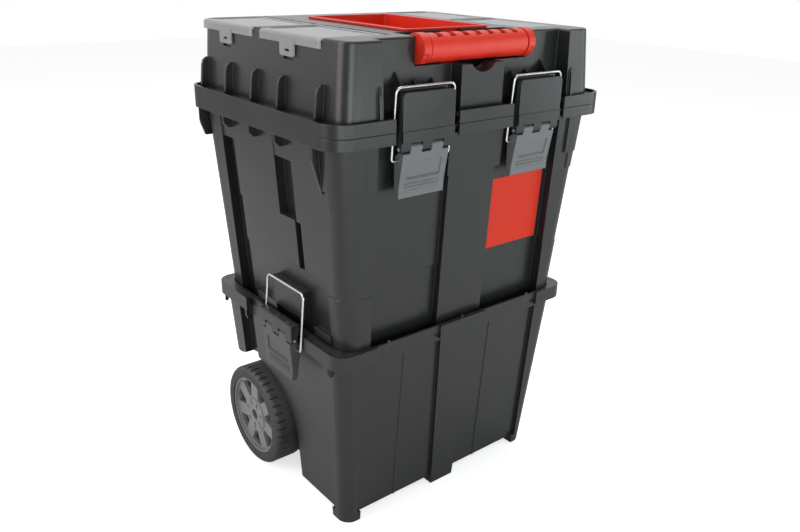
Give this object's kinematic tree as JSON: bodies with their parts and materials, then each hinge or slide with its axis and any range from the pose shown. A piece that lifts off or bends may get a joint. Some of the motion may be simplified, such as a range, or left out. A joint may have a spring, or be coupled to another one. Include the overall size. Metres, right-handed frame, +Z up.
{
  "type": "wheeled tool storage box",
  "caption": "Wheeled jobsite storage box: lower bin on wheels, lift-off box with wire latches, hinged lid with carry handle, tray and small-parts covers.",
  "frame": {"origin": "centre of the footprint on the floor", "axes": "+Z up, the front with the latches faces -Y, +X to the viewer's right when facing the front"},
  "size_m": [0.45, 0.3725, 0.6565],
  "materials": {
    "shell_plastic": "satin moulded",
    "black_plastic": "satin moulded",
    "cover_plastic": "smoked, glossy",
    "tray_plastic": "semi-gloss",
    "handle_plastic": "satin",
    "front_lever_plastic": "satin",
    "side_lever_plastic": "satin",
    "hub_plastic": "satin",
    "tyre_rubber": "matte",
    "wire_steel": "bright wire",
    "zinc_steel": "zinc plated",
    "tube_steel": "powder coated"
  },
  "bodies": {
    "bin": {"bin_shell": "shell_plastic", "bin_front": "shell_plastic", "bin_rim": "shell_plastic", "axle": "zinc_steel", "axle_caps": "black_plastic", "axle_saddles": "black_plastic", "wheel_spacers": "black_plastic", "bracket_lower": "black_plastic", "bracket_upper": "black_plastic", "bracket_screws": "zinc_steel", "outer_tube_left": "tube_steel", "outer_tube_right": "tube_steel", "side_block_left": "black_plastic", "side_block_right": "black_plastic", "side_latch_pins": "zinc_steel"},
    "wheel_left": {"tyre_left": "tyre_rubber", "hub_left": "hub_plastic"},
    "wheel_right": {"tyre_right": "tyre_rubber", "hub_right": "hub_plastic"},
    "trolley": {"inner_tube_left": "tube_steel", "inner_tube_right": "tube_steel", "trolley_grip": "black_plastic"},
    "side_lever_left": {"side_lever_left": "side_lever_plastic"},
    "side_lever_right": {"side_lever_right": "side_lever_plastic"},
    "side_bail_left": {"side_bail_left": "wire_steel"},
    "side_bail_right": {"side_bail_right": "wire_steel"},
    "box": {"box_shell": "shell_plastic", "box_front": "shell_plastic", "box_side_left": "shell_plastic", "box_side_right": "shell_plastic", "box_rim": "shell_plastic", "box_hinges": "shell_plastic", "front_cover_left": "black_plastic", "front_cover_right": "black_plastic", "front_latch_pins": "zinc_steel", "side_keeper_left": "black_plastic", "side_keeper_right": "black_plastic"},
    "front_lever_left": {"front_lever_left": "front_lever_plastic"},
    "front_lever_right": {"front_lever_right": "front_lever_plastic"},
    "front_bail_left": {"front_bail_left": "wire_steel"},
    "front_bail_right": {"front_bail_right": "wire_steel"},
    "lid": {"lid_shell": "shell_plastic", "lid_front": "shell_plastic", "lid_flange": "shell_plastic", "lid_hinges": "shell_plastic", "organiser_left": "shell_plastic", "organiser_right": "shell_plastic", "lid_hinge_pins": "zinc_steel", "handle_pins": "zinc_steel", "cover_pins": "zinc_steel", "front_keeper_left": "black_plastic", "front_keeper_right": "black_plastic"},
    "handle": {"carry_handle": "handle_plastic"},
    "tray": {"lid_tray": "tray_plastic"},
    "cover_front_left": {"cover_front_left": "cover_plastic"},
    "cover_front_right": {"cover_front_right": "cover_plastic"},
    "cover_rear_left": {"cover_rear_left": "cover_plastic"},
    "cover_rear_right": {"cover_rear_right": "cover_plastic"}
  },
  "joints": [
    {"name": "wheel_left_spin", "type": "hinge", "parent": "bin", "child": "wheel_left", "pos_m": [-0.176, 0.08, 0.077], "axis": [1, 0, 0], "continuous": true},
    {"name": "wheel_right_spin", "type": "hinge", "parent": "bin", "child": "wheel_right", "pos_m": [0.176, 0.08, 0.077], "axis": [1, 0, 0], "continuous": true},
    {"name": "trolley_slide", "type": "slide", "parent": "bin", "child": "trolley", "axis": [0, 0, -1], "range_m": [-0.38, 0]},
    {"name": "box_lift", "type": "slide", "parent": "bin", "child": "box", "axis": [0, 0, 1], "range_m": [0, 0.3]},
    {"name": "side_lever_left_turn", "type": "hinge", "parent": "bin", "child": "side_lever_left", "pos_m": [-0.2145, -0.037, 0.275], "axis": [0, 1, 0], "range_deg": [0, 104]},
    {"name": "side_bail_left_turn", "type": "hinge", "parent": "side_lever_left", "child": "side_bail_left", "pos_m": [-0.20837, -0.037, 0.25899], "axis": [0, 1, 0], "range_deg": [-112.8, 0]},
    {"name": "front_lever_left_turn", "type": "hinge", "parent": "box", "child": "front_lever_left", "pos_m": [-0.0932, -0.179, 0.534], "axis": [-1, 0, 0], "range_deg": [0, 110]},
    {"name": "front_bail_left_turn", "type": "hinge", "parent": "front_lever_left", "child": "front_bail_left", "pos_m": [-0.0932, -0.17123, 0.51872], "axis": [-1, 0, 0], "range_deg": [-129.2, 0]},
    {"name": "side_lever_right_turn", "type": "hinge", "parent": "bin", "child": "side_lever_right", "pos_m": [0.2145, -0.037, 0.275], "axis": [0, -1, 0], "range_deg": [0, 104]},
    {"name": "side_bail_right_turn", "type": "hinge", "parent": "side_lever_right", "child": "side_bail_right", "pos_m": [0.20837, -0.037, 0.25899], "axis": [0, -1, 0], "range_deg": [-112.8, 0]},
    {"name": "front_lever_right_turn", "type": "hinge", "parent": "box", "child": "front_lever_right", "pos_m": [0.0932, -0.179, 0.534], "axis": [-1, 0, 0], "range_deg": [0, 110]},
    {"name": "front_bail_right_turn", "type": "hinge", "parent": "front_lever_right", "child": "front_bail_right", "pos_m": [0.0932, -0.17123, 0.51872], "axis": [-1, 0, 0], "range_deg": [-129.2, 0]},
    {"name": "lid_turn", "type": "hinge", "parent": "box", "child": "lid", "pos_m": [0, 0.171, 0.558], "axis": [-1, 0, 0], "range_deg": [0, 95]},
    {"name": "handle_turn", "type": "hinge", "parent": "lid", "child": "handle", "pos_m": [0, -0.123, 0.63], "axis": [-1, 0, 0], "range_deg": [0, 50]},
    {"name": "tray_lift", "type": "slide", "parent": "lid", "child": "tray", "axis": [0, 0, 1], "range_m": [0, 0.1]},
    {"name": "cover_front_left_turn", "type": "hinge", "parent": "lid", "child": "cover_front_left", "pos_m": [-0.112, -0.06, 0.649], "axis": [0, 1, 0], "range_deg": [0, 95]},
    {"name": "cover_rear_left_turn", "type": "hinge", "parent": "lid", "child": "cover_rear_left", "pos_m": [-0.112, 0.089, 0.649], "axis": [0, 1, 0], "range_deg": [0, 95]},
    {"name": "cover_front_right_turn", "type": "hinge", "parent": "lid", "child": "cover_front_right", "pos_m": [0.112, -0.06, 0.649], "axis": [0, -1, 0], "range_deg": [0, 95]},
    {"name": "cover_rear_right_turn", "type": "hinge", "parent": "lid", "child": "cover_rear_right", "pos_m": [0.112, 0.089, 0.649], "axis": [0, -1, 0], "range_deg": [0, 95]}
  ],
  "couplings": [
    {"joint": "side_bail_left_turn", "follows": "side_lever_left_turn", "ratio": -1.08},
    {"joint": "front_bail_left_turn", "follows": "front_lever_left_turn", "ratio": -1.17},
    {"joint": "side_bail_right_turn", "follows": "side_lever_right_turn", "ratio": -1.08},
    {"joint": "front_bail_right_turn", "follows": "front_lever_right_turn", "ratio": -1.17}
  ]
}
